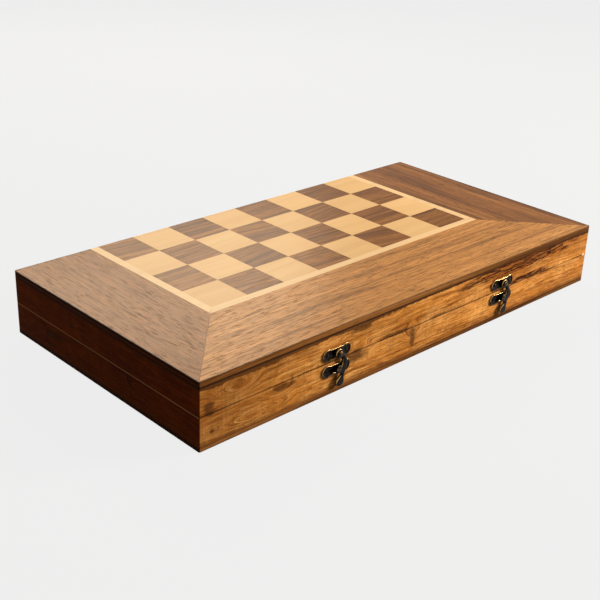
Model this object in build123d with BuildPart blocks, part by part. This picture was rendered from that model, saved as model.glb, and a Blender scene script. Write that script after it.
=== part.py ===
from build123d import *

import os
from math import cos, radians, sin

# Folding chess and backgammon case, closed, with two swing hook latches on its front.
# The origin is the middle of the underside. +X runs along the length, -Y is the latch side,
# +Y is the hinge side and +Z is up. All sizes are in millimetres.

os.makedirs("parts", exist_ok=True)

# Case
case_length = 500.0
case_width = 256.0
case_height = 60.0
seam_gap = 0.4
wall_thickness = 11.0
corner_ease = 0.8

# Panels: a core with veneer on both faces
core_thickness = 4.0
veneer_thickness = 0.6
veneer_joint = 0.1

# Half chessboard on each outer face
middle_columns = 6
column_width = 41.8
end_column_width = 38.7
back_rows = 3
row_depth = 41.8
front_row_depth = 39.6
stringing_width = 8.0

# Backgammon field on each inner face
points_per_end = 6
point_length = 195.0
point_base_gap = 3.0

# Butt hinges
hinge_offset = 150.0
hinge_length = 50.0
hinge_knuckles = 3
hinge_knuckle_gap = 0.2
hinge_knuckle_radius = 2.3
hinge_pin_radius = 1.2
hinge_axis_out = 1.0
hinge_leaf_thickness = 1.2
hinge_leaf_inset = 2.5
hinge_relief = 0.3
hinge_fit = 0.1

# Latch plates, rivets and studs
latch_offset = 109.0
plate_offset = 7.4
plate_lobe_radius = 5.6
plate_lobe_offset = 10.1
plate_waist_height = 9.4
plate_thickness = 1.0
plate_rim_width = 1.1
plate_rim_height = 0.7
rivet_radius = 1.5
rivet_head_radius = 2.7
stud_offset = 6.4
stud_radius = 2.0
stud_cap_radius = 3.0
cap_height = 1.2

# Latch hook
hook_thickness = 2.4
hook_edge = 0.6
hook_boss_radius = 4.2
hook_boss_rise = 0.5
hook_bow_side = 9.8
hook_arm_width = 5.2
hook_finger_depth = 2.8
hook_tip_angle = 16.0
hook_throat_clearance = 0.3
hook_neck_angle = 12.0
hook_neck_width = 4.3
hook_neck_radius = 1.5
hook_tail_radius = 4.4
hook_tail_drop = 13.2
hook_tail_side = 2.8

# Clearances of the latches and hinge pins
running_clearance = 0.05
face_clearance = 0.1

# Playing pieces kept in the lower tray
checker_gap = 3.0
checker_thickness = 8.0
checker_facets = 12
checker_wall_gap = 1.0
checker_stack_gap = 0.1
checkers_per_stack = 3
dice_size = 12.0
dice_edge = 1.2
dice_gap = 6.0

# Places that follow from the sizes
seam_z = case_height / 2
seam = Plane.XY.offset(seam_z)
seam_face = seam_z - seam_gap / 2
core_inner = veneer_thickness + core_thickness
field_face = core_inner + veneer_thickness
side_x = case_length / 2
side_y = case_width / 2
inner_x = side_x - wall_thickness
inner_y = side_y - wall_thickness
pitch = 2 * inner_y / points_per_end
columns = [end_column_width] + middle_columns * [column_width] + [end_column_width]
rows = back_rows * [row_depth] + [front_row_depth]
board_x = sum(columns) / 2
board_y = side_y - sum(rows)
string_x = board_x + stringing_width
string_y = board_y - stringing_width
halves = ("lower", "upper")

with BuildSketch() as footprint:
    Rectangle(case_length, case_width)
    chamfer(footprint.vertices(), corner_ease)


# Panel cores, one behind each face of the case. Each upper piece is the lower one mirrored
# about the seam.
for half in halves:
    with BuildPart() as core:
        with BuildSketch(Plane.XY.offset(veneer_thickness)):
            add(footprint.sketch)
        extrude(amount=core_thickness)
        if half == "upper":
            mirror(about=seam, mode=Mode.REPLACE)
    core.part.label = f"{half}_panel_core"
    export_step(core.part, f"parts/{core.part.label}.step")


# Border veneers, mitred from the case's front corners to the stringing's corners
borders = {
    "left": [(-side_x, -side_y), (-string_x, string_y), (-string_x, side_y), (-side_x, side_y)],
    "front": [(-side_x, -side_y), (side_x, -side_y), (string_x, string_y), (-string_x, string_y)],
    "right": [(side_x, -side_y), (side_x, side_y), (string_x, side_y), (string_x, string_y)],
}
for half in halves:
    for name, corners in borders.items():
        with BuildPart() as border:
            with BuildSketch():
                Polygon(*corners, align=None)
                add(footprint.sketch, mode=Mode.INTERSECT)
            extrude(amount=veneer_thickness)
            if half == "upper":
                mirror(about=seam, mode=Mode.REPLACE)
        border.part.label = f"{half}_border_{name}"
        export_step(border.part, f"parts/{border.part.label}.step")


# Pale stringing round three sides of the squares, with a glue line at each mitre
for half in halves:
    with BuildPart() as stringing:
        with BuildSketch():
            with Locations((0, (string_y + side_y) / 2)):
                Rectangle(2 * string_x, side_y - string_y)
            with Locations((0, (board_y + side_y) / 2)):
                Rectangle(2 * board_x, side_y - board_y, mode=Mode.SUBTRACT)
            for side in (-1, 1):
                with Locations((side * (board_x + string_x) / 2, (board_y + string_y) / 2)):
                    Rectangle(
                        2 * stringing_width, veneer_joint, rotation=-45 * side, mode=Mode.SUBTRACT
                    )
        extrude(amount=veneer_thickness)
        if half == "upper":
            mirror(about=seam, mode=Mode.REPLACE)
    stringing.part.label = f"{half}_stringing"
    export_step(stringing.part, f"parts/{stringing.part.label}.step")


# Chess squares. Opened flat, the squares alternate across the hinge line too, so a column has
# opposite woods on the two halves.
for half in halves:
    for wood in ("walnut", "maple"):
        parity = 0 if (half == "upper") == (wood == "walnut") else 1
        with BuildPart() as squares:
            with BuildSketch():
                for row, depth in enumerate(rows):
                    for column, width in enumerate(columns):
                        if (row + column) % 2 == parity:
                            x = -board_x + sum(columns[:column]) + width / 2
                            y = side_y - sum(rows[:row]) - depth / 2
                            with Locations((x, y)):
                                Rectangle(width - veneer_joint, depth - veneer_joint)
            extrude(amount=veneer_thickness)
            if half == "upper":
                mirror(about=seam, mode=Mode.REPLACE)
        squares.part.label = f"{half}_{wood}_squares"
        export_step(squares.part, f"parts/{squares.part.label}.step")


# Inner field veneer, with points let in at both short ends, light and dark in turn
triangles = {"light": [], "dark": []}
for end in (-1, 1):
    for place in range(points_per_end):
        tone = "light" if (place % 2 == 0) == (end == -1) else "dark"
        middle = -inner_y + (place + 0.5) * pitch
        base = (pitch - point_base_gap) / 2
        foot = end * inner_x
        apex = (foot - end * point_length, middle)
        triangles[tone].append([(foot, middle - base), (foot, middle + base), apex])
for half in halves:
    with BuildPart() as ground:
        with BuildSketch(Plane.XY.offset(core_inner)):
            Rectangle(2 * inner_x, 2 * inner_y)
            for corners in triangles["light"] + triangles["dark"]:
                Polygon(*corners, align=None, mode=Mode.SUBTRACT)
        extrude(amount=veneer_thickness)
        if half == "upper":
            mirror(about=seam, mode=Mode.REPLACE)
    ground.part.label = f"{half}_field_ground"
    export_step(ground.part, f"parts/{ground.part.label}.step")

    for tone in ("light", "dark"):
        with BuildPart() as inlay:
            with BuildSketch(Plane.XY.offset(core_inner)):
                for corners in triangles[tone]:
                    Polygon(*corners, align=None)
            extrude(amount=veneer_thickness)
            if half == "upper":
                mirror(about=seam, mode=Mode.REPLACE)
        inlay.part.label = f"{half}_{tone}_points"
        export_step(inlay.part, f"parts/{inlay.part.label}.step")


# Walls, mitred at the four corners. The back wall is let in for the hinge leaves and relieved
# round their knuckles.
hinges = {"left": -hinge_offset, "right": hinge_offset}
hinge_y = side_y + hinge_axis_out
leaf_y = inner_y + hinge_leaf_inset
recess_y = leaf_y - hinge_fit
recess_length = hinge_length + 2 * hinge_fit
mitres = {
    "front": [(-side_x, -side_y), (side_x, -side_y), (inner_x, -inner_y), (-inner_x, -inner_y)],
    "back": [(-side_x, side_y), (-inner_x, inner_y), (inner_x, inner_y), (side_x, side_y)],
    "left": [(-side_x, -side_y), (-inner_x, -inner_y), (-inner_x, inner_y), (-side_x, side_y)],
    "right": [(side_x, -side_y), (side_x, side_y), (inner_x, inner_y), (inner_x, -inner_y)],
}
for half in halves:
    for name, corners in mitres.items():
        with BuildPart() as wall:
            with BuildSketch(Plane.XY.offset(core_inner)):
                Polygon(*corners, align=None)
                add(footprint.sketch, mode=Mode.INTERSECT)
            extrude(amount=seam_face - core_inner)
            if name == "back":
                with BuildSketch(Plane.XY.offset(seam_face)):
                    with Locations(*((x, (recess_y + side_y) / 2) for x in hinges.values())):
                        Rectangle(recess_length, side_y - recess_y)
                extrude(amount=-hinge_leaf_thickness, mode=Mode.SUBTRACT)
                for x in hinges.values():
                    with BuildSketch(Plane.YZ.offset(x - recess_length / 2)):
                        with Locations((hinge_y, seam_z)):
                            Circle(hinge_knuckle_radius + hinge_relief)
                    extrude(amount=recess_length, mode=Mode.SUBTRACT)
            if half == "upper":
                mirror(about=seam, mode=Mode.REPLACE)
        wall.part.label = f"{half}_{name}_wall"
        export_step(wall.part, f"parts/{wall.part.label}.step")


# Butt hinges: the lower leaf has the outer knuckles and the upper leaf the one between them
knuckle_pitch = hinge_length / hinge_knuckles
for side, x in hinges.items():
    for half in halves:
        first = 1 if half == "lower" else 0
        with BuildPart() as leaf:
            with BuildSketch(Plane.YZ.offset(x - hinge_length / 2)):
                with Locations((hinge_y, seam_z)):
                    Circle(hinge_knuckle_radius)
                with Locations(((leaf_y + hinge_y) / 2, seam_face - hinge_leaf_thickness / 2)):
                    Rectangle(hinge_y - leaf_y, hinge_leaf_thickness)
                with Locations((hinge_y, seam_z)):
                    Circle(hinge_pin_radius + running_clearance, mode=Mode.SUBTRACT)
            extrude(amount=hinge_length)
            for knuckle in range(first, hinge_knuckles, 2):
                start = x - hinge_length / 2 + knuckle * knuckle_pitch - hinge_knuckle_gap / 2
                with BuildSketch(Plane.YZ.offset(start)):
                    with Locations((hinge_y, seam_z)):
                        Circle(hinge_knuckle_radius + hinge_relief)
                extrude(amount=knuckle_pitch + hinge_knuckle_gap, mode=Mode.SUBTRACT)
            if half == "upper":
                mirror(about=seam, mode=Mode.REPLACE)
        leaf.part.label = f"hinge_leaf_{half}_{side}"
        export_step(leaf.part, f"parts/{leaf.part.label}.step")

    with BuildPart() as pin:
        with BuildSketch(Plane.YZ.offset(x - hinge_length / 2)):
            with Locations((hinge_y, seam_z)):
                Circle(hinge_pin_radius)
        extrude(amount=hinge_length)
    pin.part.label = f"hinge_pin_{side}"
    export_step(pin.part, f"parts/{pin.part.label}.step")


# Latch plates, one above and one below the seam: two lobes and a waist with a raised rim, and
# a hole for the rivet that the hook turns on or for the stud that it catches
latches = {"left": -latch_offset, "right": latch_offset}
rim_face = plate_thickness + plate_rim_height
hook_back = rim_face + face_clearance
cap_face = hook_back + hook_thickness + face_clearance
for side, x in latches.items():
    for name, height, post_height, post in (
        ("latch", plate_offset, plate_offset, rivet_radius),
        ("catch", -plate_offset, -stud_offset, stud_radius),
    ):
        face = Plane(origin=(x, -side_y, seam_z), x_dir=(1, 0, 0), z_dir=(0, -1, 0))
        with BuildPart() as plate:
            with BuildSketch(face) as outline:
                with Locations((0, height)):
                    Rectangle(2 * plate_lobe_offset, plate_waist_height)
                with Locations((-plate_lobe_offset, height), (plate_lobe_offset, height)):
                    Circle(plate_lobe_radius)
            extrude(amount=rim_face)
            with BuildSketch(face.offset(rim_face)):
                add(outline.sketch_local)
                offset(amount=-plate_rim_width, mode=Mode.REPLACE)
            extrude(amount=-plate_rim_height, mode=Mode.SUBTRACT)
            with BuildSketch(face):
                with Locations((0, post_height)):
                    Circle(post)
            extrude(amount=plate_thickness, mode=Mode.SUBTRACT)
        plate.part.label = f"{name}_plate_{side}"
        export_step(plate.part, f"parts/{plate.part.label}.step")


# Rivets and catch studs, each with a flat head just clear of the hook
for side, x in latches.items():
    for name, height, post, cap, under in (
        ("latch_rivet", plate_offset, rivet_radius, rivet_head_radius, cap_face + hook_boss_rise),
        ("catch_stud", -stud_offset, stud_radius, stud_cap_radius, cap_face),
    ):
        base = (x, -side_y, seam_z + height)
        with BuildPart() as post_part:
            with BuildSketch(Plane(origin=base, x_dir=(1, 0, 0))):
                with BuildLine():
                    Polyline(
                        (0, 0),
                        (post, 0),
                        (post, -under),
                        (cap, -under),
                        (cap, -under - cap_height),
                        (0, -under - cap_height),
                        close=True,
                    )
                make_face()
            revolve(axis=Axis(base, (0, -1, 0)))
        post_part.part.label = f"{name}_{side}"
        export_step(post_part.part, f"parts/{post_part.part.label}.step")


# Latch hooks, drawn round the pivot and the stud. The bow of the arm passes to the right of
# the stud, the finger holds the stud from below along an arc about the pivot, so that the hook
# swings clear to the right, and the tail curls down to a rounded drop for the fingertip.
throat = stud_radius + hook_throat_clearance
finger_inner = plate_offset + stud_offset + throat
finger_outer = finger_inner + hook_finger_depth
pivot = (0, plate_offset)
stud = (0, -stud_offset)
drop = (hook_tail_side, -stud_offset - hook_tail_drop)


def on_circle(center, radius, angle):
    """A point on a circle, at an angle from the right."""
    return (center[0] + radius * cos(radians(angle)), center[1] + radius * sin(radians(angle)))


def along_circle(angle):
    """The anticlockwise direction along a circle, at an angle from the right."""
    return (-sin(radians(angle)), cos(radians(angle)))


tip = on_circle(pivot, finger_inner + hook_finger_depth / 2, -90 - hook_tip_angle)
neck_left = on_circle(pivot, finger_outer, -90 + hook_neck_angle)
neck_right = (neck_left[0] + hook_neck_width, neck_left[1])
bow_inner = (hook_bow_side - hook_arm_width, -hook_arm_width / 4)
bow_outer = (hook_bow_side, -hook_arm_width / 4)
arm_top = on_circle(pivot, hook_boss_radius - hook_edge, 35)
arm_start = on_circle(pivot, hook_boss_radius - hook_edge, -60)

for side, x in latches.items():
    face = Plane(origin=(x, -side_y - hook_back, seam_z), x_dir=(1, 0, 0), z_dir=(0, -1, 0))
    with BuildPart() as hook:
        with BuildSketch(face) as outline:
            with BuildLine():
                ThreePointArc(arm_start, bow_inner, (throat, stud[1]))
                CenterArc(stud, throat, 0, -90)
                CenterArc(pivot, finger_inner, -90, -hook_tip_angle)
                CenterArc(tip, hook_finger_depth / 2, 90 - hook_tip_angle, 180)
                CenterArc(pivot, finger_outer, -90 - hook_tip_angle, hook_tip_angle + hook_neck_angle)
                Spline(
                    neck_left,
                    on_circle(drop, hook_tail_radius, 140),
                    tangents=((0.3, -1), along_circle(140)),
                )
                CenterArc(drop, hook_tail_radius, 140, 230)
                Spline(
                    on_circle(drop, hook_tail_radius, 10),
                    neck_right,
                    tangents=(along_circle(10), (0.5, 1)),
                )
                Spline(neck_right, bow_outer, arm_top, tangents=((0.5, 1), along_circle(35)))
                Line(arm_top, arm_start)
            make_face()
            fillet(outline.vertices().sort_by_distance((*neck_left, 0))[0], hook_neck_radius)
        extrude(amount=hook_thickness)
        chamfer(hook.faces().sort_by(Axis.Y)[0].edges(), hook_edge)
        with BuildSketch(face):
            with Locations(pivot):
                Circle(hook_boss_radius)
        extrude(amount=hook_thickness + hook_boss_rise)
        with BuildSketch(face):
            with Locations(pivot):
                Circle(rivet_radius + running_clearance)
        extrude(amount=hook_thickness + hook_boss_rise, mode=Mode.SUBTRACT)
    hook.part.label = f"latch_hook_{side}"
    export_step(hook.part, f"parts/{hook.part.label}.step")


# Checkers, stood in stacks on the points of each end of the lower tray, and two dice on the
# place that is left free. They are turned round; here their rims are drawn with a few facets.
checker_radius = (pitch - checker_gap) / 2
stack_x = inner_x - checker_wall_gap - checker_radius
for name, end in (("light_checkers", -1), ("dark_checkers", 1)):
    with BuildPart() as checkers:
        for level in range(checkers_per_stack):
            height = field_face + level * (checker_thickness + checker_stack_gap)
            with BuildSketch(Plane.XY.offset(height)):
                for place in range(1, points_per_end):
                    with Locations((end * stack_x, -inner_y + (place + 0.5) * pitch)):
                        RegularPolygon(checker_radius, checker_facets)
            extrude(amount=checker_thickness)
    checkers.part.label = name
    export_step(checkers.part, f"parts/{checkers.part.label}.step")

with BuildPart() as dice:
    for place in (-1, 1):
        x = -stack_x + place * (dice_size + dice_gap) / 2
        with BuildSketch(Plane.XY.offset(field_face)):
            with Locations((x, -inner_y + pitch / 2)):
                Rectangle(dice_size, dice_size)
        extrude(amount=dice_size)
    chamfer(dice.edges(), dice_edge)
dice.part.label = "dice"
export_step(dice.part, "parts/dice.step")
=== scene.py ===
# %% [markdown]
# # A folding backgammon case in walnut and maple
#
# The case is closed and lies flat. Its two halves are shallow boxes whose outer faces are
# veneered, each with half a chessboard, and inside are the points of backgammon. Two small cast
# hooks hold the halves together. The shapes come from a CAD model, so this notebook is mostly
# about finishes: sliced veneer, stained boards, dark bronze. It also models what CAD left plain.

# %% Load the CAD model as a fixed frame
import bmesh
import bpy
import math
from mathutils import Matrix, Vector


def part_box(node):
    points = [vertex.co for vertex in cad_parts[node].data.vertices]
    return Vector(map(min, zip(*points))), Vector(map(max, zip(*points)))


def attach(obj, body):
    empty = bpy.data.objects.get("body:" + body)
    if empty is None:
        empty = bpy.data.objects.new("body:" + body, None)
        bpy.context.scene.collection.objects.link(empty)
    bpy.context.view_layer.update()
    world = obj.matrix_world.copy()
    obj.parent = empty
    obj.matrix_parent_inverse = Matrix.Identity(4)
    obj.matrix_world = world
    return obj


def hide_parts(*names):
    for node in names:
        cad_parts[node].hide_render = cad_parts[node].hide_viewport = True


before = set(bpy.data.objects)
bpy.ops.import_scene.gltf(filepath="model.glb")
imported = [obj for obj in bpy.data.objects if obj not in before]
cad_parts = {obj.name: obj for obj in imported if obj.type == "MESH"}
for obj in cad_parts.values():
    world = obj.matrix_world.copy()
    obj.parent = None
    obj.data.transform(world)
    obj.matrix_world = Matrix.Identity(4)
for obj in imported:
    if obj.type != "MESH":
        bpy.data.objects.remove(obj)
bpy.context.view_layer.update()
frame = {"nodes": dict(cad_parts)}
nodes = frame["nodes"]


# %% [markdown]
# ## The camera
#
# The picture was taken from the near left, about a metre away and a little above the case. The
# place and the lens were solved from the seven corners of the case that the picture shows and
# from the corners of its squares. We could aim a camera with a Track To constraint, but a small
# roll is part of the solution, so the three directions of the camera are written down and become
# the columns of its matrix.

# %% Camera
to_right = Vector((0.7271, -0.6855, 0.0363)).normalized()
ahead = Vector((0.6322, 0.6481, -0.4246)).normalized()
upwards = to_right.cross(ahead)
camera_data = bpy.data.cameras.new("camera")
camera_data.sensor_width = 36.0
camera_data.lens = 66.2
camera = bpy.data.objects.new("camera", camera_data)
bpy.context.scene.collection.objects.link(camera)
turn = Matrix((to_right, upwards, -ahead)).transposed().to_4x4()
camera.matrix_world = Matrix.Translation((-0.6822, -0.6714, 0.4524)) @ turn
bpy.context.scene.camera = camera
print("camera looks down by", round(math.degrees(math.asin(-ahead.z)), 1), "degrees")


# %% [markdown]
# ## Colours
#
# Colours are written here as a picture shows them, from 0 to 255, because that is how one reads
# them off a wooden board. A shader adds up light, and wants the linear value instead, so each
# colour passes through the curve of the sRGB standard first.

# %% Colours
def shade(red, green, blue):
    """A colour as a picture shows it, 0 to 255, as the linear colour that a shader takes."""
    def linear(value):
        value = value / 255
        if value <= 0.04045:
            return value / 12.92
        return ((value + 0.055) / 1.055) ** 2.4
    return (linear(red), linear(green), linear(blue), 1.0)


def dimmed(colour, share):
    """A plain colour, made darker or lighter by a factor."""
    return tuple(value * share for value in colour[:3]) + (1.0,)


print("a mid grey is", round(shade(128, 128, 128)[0], 3), "in linear light")


# %% [markdown]
# ## Shader maths in plain Python
#
# A procedural finish is a sum of many small patterns, and in the node editor that soon becomes a
# tangle. Here a node's output is wrapped in a small class, so that `1 - mask * 0.5` adds the Math
# nodes by itself. Every other node comes from one method, `add`, that takes the node's type, its
# settings and the values or wires of its sockets. A tree of nodes is built in the same way for a
# material and for the world.

# %% Wires and nodes
class Wire:
    """The output of a shader node, on which Python's operators add Math nodes."""

    def __init__(self, nodes, socket):
        self.nodes = nodes
        self.socket = socket

    def maths(self, operation, *values):
        return self.nodes.add("ShaderNodeMath", {"operation": operation}, dict(enumerate(values)))

    def __add__(self, other):
        return self.maths("ADD", self, other)

    def __sub__(self, other):
        return self.maths("SUBTRACT", self, other)

    def __rsub__(self, other):
        return self.maths("SUBTRACT", other, self)

    def __mul__(self, other):
        return self.maths("MULTIPLY", self, other)

    def __abs__(self):
        return self.maths("ABSOLUTE", self)

    __radd__ = __add__
    __rmul__ = __mul__


class Nodes:
    """A tree of shader nodes that is being built, for a finish or for the world."""

    def __init__(self, tree):
        self.tree = tree

    def add(self, kind, settings, values, output=0):
        node = self.tree.nodes.new(kind)
        for name, setting in settings.items():
            setattr(node, name, setting)
        for name, value in values.items():
            self.give(node.inputs[name], value)
        return Wire(self, node.outputs[output])

    def give(self, socket, value):
        if isinstance(value, Wire):
            self.tree.links.new(value.socket, socket)
        else:
            socket.default_value = value


print("a wire takes part in +, - and *, and in abs()")


# %% [markdown]
# ## What every finish can do
#
# Wood and metal need the same few patterns. `place` gives the point of the surface that is
# coloured, `noise` draws blotches that may be stretched along the grain, `step` cuts a soft mask
# out of them, and `spot` is a mask for one marked place. All of them read Object coordinates,
# which move with the piece, so nothing slides over the wood when the case is opened.

# %% Finishes
class Finish(Nodes):
    """A material that is being built, and the patterns that wood and metal share."""

    def __init__(self, name):
        self.material = bpy.data.materials.new(name)
        self.material.use_nodes = True
        super().__init__(self.material.node_tree)
        self.skin = self.tree.nodes["Principled BSDF"]

    def place(self, turn=0.0):
        """Where a point of the surface is, turned so that the grain runs along X."""
        here = self.add("ShaderNodeTexCoord", {}, {}, "Object")
        turned = {"Vector": here, "Rotation": (0, 0, math.radians(turn))}
        return self.add("ShaderNodeMapping", {}, turned)

    def parts(self, point):
        return [self.add("ShaderNodeSeparateXYZ", {}, {0: point}, axis) for axis in "XYZ"]

    def noise(self, point, scale, detail=2.0, roughness=0.5, seed=0.0):
        """Noise with about one blotch in 1 / scale of a metre, in each direction."""
        moved = {"Vector": point, "Scale": scale, "Location": (seed, seed, seed)}
        drawn = self.add("ShaderNodeMapping", {}, moved)
        values = {"Vector": drawn, "Scale": 1.0, "Detail": detail, "Roughness": roughness}
        return self.add("ShaderNodeTexNoise", {}, values)

    def step(self, value, low, high):
        """A soft step from 0 at low to 1 at high."""
        values = {"Value": value, "From Min": low, "From Max": high}
        return self.add("ShaderNodeMapRange", {"interpolation_type": "SMOOTHSTEP"}, values)

    def spot(self, point, centre, size):
        """1 at the centre of an ellipse, fading to 0 at its rim. A size of None leaves an axis out."""
        scale = [1 / s if s else 0.0 for s in size]
        shift = [-c * k for c, k in zip(centre, scale)]
        moved = {"Vector": point, "Scale": scale, "Location": shift}
        drawn = self.add("ShaderNodeMapping", {}, moved)
        reach = self.add("ShaderNodeVectorMath", {"operation": "LENGTH"}, {0: drawn}, "Value")
        return self.step(reach, 1.0, 0.0)

    def mix(self, amount, first, second):
        settings = {"data_type": "RGBA", "blend_type": "MIX"}
        return self.add("ShaderNodeMix", settings, {0: amount, 6: first, 7: second}, 2)

    def dim(self, colour, value):
        """The colour of a wire, darker or lighter by a factor that may vary."""
        values = {0: colour, "Scale": value}
        return self.add("ShaderNodeVectorMath", {"operation": "SCALE"}, values)

    def finish(self, colour, rough, height=None, depth=0.0, specular=0.5, metallic=0.0):
        """Connects what was built to the shader. Depth is the height's depth in metres."""
        self.give(self.skin.inputs["Base Color"], colour)
        self.give(self.skin.inputs["Roughness"], rough)
        self.skin.inputs["Specular IOR Level"].default_value = specular
        self.skin.inputs["Metallic"].default_value = metallic
        if height is not None:
            raised = {"Height": height, "Distance": depth, "Strength": 1.0}
            self.give(self.skin.inputs["Normal"], self.add("ShaderNodeBump", {}, raised))
        return self.material


print("a finish can", ", ".join(name for name in vars(Finish) if not name.startswith("_")))


# %% [markdown]
# ## Sliced wood
#
# Veneer is wood sliced 0.6 mm thick. Five patterns lie over each other, all drawn out along the
# grain: the figure, which is the broad bands that the growth rings leave, then streaks, fibres,
# long dark veins, and the pores, which in walnut are short dark dashes. A wave texture would give
# even stripes, so each is noise that is stretched along the grain, after a slow drift has bent
# the grain a little. How strong each pattern is comes from a small table, the look of the wood.

# %% Grain
grain_scales = {
    "streaks": (8, 380, 380),
    "fibres": (26, 900, 900),
    "dashes": (85, 760, 760),
    "veins": (3, 210, 210),
}
figure_scale = 2.6


def bend(finish, point, reach, amount):
    """Bends the grain sideways by up to amount metres, in waves about reach metres long."""
    drift = (finish.noise(point, (1 / reach, 3 / reach, 3 / reach), 1.0) - 0.5) * amount
    sideways = finish.add("ShaderNodeCombineXYZ", {}, {1: drift, 2: drift})
    return finish.add("ShaderNodeVectorMath", {"operation": "ADD"}, {0: point, 1: sideways})


def grain_over(finish, point, tones, look, seed):
    """The colour of sliced wood, and how much of a pore is at each point."""
    bent = bend(finish, point, 0.25, 0.012)
    across = 1 / look["band"]
    figure = finish.noise(bent, (figure_scale, across, across), 4.0, 0.6, seed)
    streaks = finish.noise(bent, grain_scales["streaks"], 4.0, 0.6, seed + 3)
    fibres = finish.noise(bent, grain_scales["fibres"], 2.0, 0.6, seed)
    dashes = finish.noise(bent, grain_scales["dashes"], 3.0, 0.65, seed + 6)
    veins = finish.noise(bent, grain_scales["veins"], 2.0, 0.5, seed + 9)
    dark, middle, light = tones
    contrast = look["contrast"]
    deep = finish.mix(finish.step(figure, 0.5 - contrast, 0.5), dark, middle)
    colour = finish.mix(finish.step(figure, 0.48, 0.48 + contrast), deep, light)
    value = (fibres - 0.5) * look["fibre"] + (streaks - 0.5) * look["streak"] + 1
    colour = finish.dim(colour, value)
    hollow = dimmed(dark, 0.55)
    colour = finish.mix(finish.step(veins, 0.53, 0.68) * look["vein"], colour, hollow)
    pore = finish.step(dashes, 0.53, 0.62) * look["pore"]
    return finish.mix(pore, colour, hollow), pore


for name, (along, across, _) in grain_scales.items():
    print(name, "are", round(across / along), "times as long as they are wide")


# %% [markdown]
# ## A lacquered face
#
# A thin satin lacquer lies over the veneer and sinks a little into the pores. The pores are
# therefore rougher and 0.03 mm deep. The specular level is far below the usual 0.5: the floor
# and the backdrop are nearly white in every reflection, and a stronger one would lay a grey veil
# over the brown of the wood. Each wood has its look: `band` is the width of a growth band in
# metres, `contrast` how softly its tones meet, and the rest say how strong a pattern is. The
# looks of the walnut squares and of the panel edges follow where they are used.

# %% Veneer
lacquer_rough = 0.3
lacquer_shine = 0.035
pore_depth = 0.00003


def veneer(name, turn, tones, look, seed, rough=lacquer_rough, shine=lacquer_shine, outline=None):
    """Sliced wood in three tones. An outline, if given, draws joints and edges over it."""
    finish = Finish(name)
    point = finish.place(turn)
    colour, pore = grain_over(finish, point, tones, look, seed)
    if outline:
        colour = outline(finish, colour, dimmed(tones[0], 0.4))
    return finish.finish(colour, rough + pore * 0.2, 1 - pore, pore_depth, shine)


open_grain = {"band": 0.016, "contrast": 0.24, "fibre": 1.2, "streak": 1.4, "vein": 0.5, "pore": 0.5}
long_grain = {"band": 0.013, "contrast": 0.38, "fibre": 1.5, "streak": 0.8, "vein": 0.5, "pore": 0.6}
calm_grain = {"band": 0.02, "contrast": 0.5, "fibre": 1.7, "streak": 0.4, "vein": 0.05, "pore": 0.55}
close_grain = {"band": 0.03, "contrast": 0.3, "fibre": 0.08, "streak": 0.06, "vein": 0.1, "pore": 0.05}
print("growth bands are", open_grain["band"] * 1000, "mm wide in walnut")
print("and", close_grain["band"] * 1000, "mm in maple")


# %% [markdown]
# ## Borders
#
# On each half three strips of walnut frame the squares: left, right and in front. Their grain
# runs along the frame, and they meet in two mitres. These aren't at 45 degrees, because the end
# borders are wider than the front one, so the joint is found from both widths. A thin dark line
# marks it, and a dark millimetre runs round the outside. Both could be thin pieces of their own,
# but they have no thickness on the real case, so they are colour.

# %% Border outline
case_low, case_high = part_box("upper_panel_core")
inlay_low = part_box("upper_stringing")[0]
case_middle = (case_low + case_high) / 2
half_length = (case_high.x - case_low.x) / 2
end_border = inlay_low.x - case_low.x
front_border = inlay_low.y - case_low.y
rim_inside = 0.0011
rim_outside = 0.0005


def border_outline(finish, colour, edge_dark):
    """Darkens the outermost millimetre and the mitre joints."""
    along, across, _ = finish.parts(finish.place())
    from_end = half_length - abs(along - case_middle.x)
    from_front = across - case_low.y
    from_back = case_high.y - across
    end_rim = finish.step(from_end, rim_inside, rim_outside)
    front_rim = finish.step(from_front, rim_inside, rim_outside)
    back_rim = finish.step(from_back, rim_inside, rim_outside)
    joint = abs(from_end * (front_border / end_border) - from_front)
    colour = finish.mix(end_rim * 0.75, colour, edge_dark)
    colour = finish.mix((front_rim + back_rim) * 0.75, colour, edge_dark)
    return finish.mix(finish.step(joint, 0.0007, 0.0003) * 0.5, colour, edge_dark)


print("borders are", round(end_border * 1000, 1), "and", round(front_border * 1000, 1), "mm wide")


# %% [markdown]
# ## Three cuts of walnut
#
# The borders were cut from different sheets. The left one is fine and even, the front one golden
# with long dark streaks, and the right one is the darkest. Each has three tones, from the dark of
# a late growth band to the light of an early one.

# %% Border veneers
left_tones = (shade(92, 54, 23), shade(133, 85, 41), shade(148, 98, 47))
front_tones = (shade(114, 74, 38), shade(168, 115, 60), shade(188, 133, 74))
right_tones = (shade(86, 52, 24), shade(122, 77, 36), shade(140, 92, 46))
border_left = veneer("walnut_border_left", -90, left_tones, calm_grain, 7.7, outline=border_outline)
border_front = veneer("walnut_border_front", 0, front_tones, long_grain, 3.1, outline=border_outline)
border_right = veneer("walnut_border_right", -90, right_tones, open_grain, 12.4, outline=border_outline)
maple = (shade(188, 144, 92), shade(200, 160, 107), shade(206, 168, 115))
pale_maple = (shade(197, 160, 112), shade(210, 175, 128), shade(216, 183, 136))
maple_string = veneer("maple_string", 0, pale_maple, close_grain, 5.0)
print("veneers:", border_left.name, border_front.name, border_right.name, maple_string.name)


# %% [markdown]
# ## Chess squares
#
# Each square was cut from another place of the sheet, so its streaks, their slant and its tone
# are its own. Sixteen squares share one CAD node. Sixteen materials would do it, but one is
# enough: the square that a point lies in is found by rounding its place down, and a White Noise
# node turns that whole number into a jump along the log, a slant and a tone. The walnut squares
# also darken a little towards the right, as the borders do: this is painted shade, where the
# sheen on the top fades towards the right.

# %% Squares that differ
square = 0.0418
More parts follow.
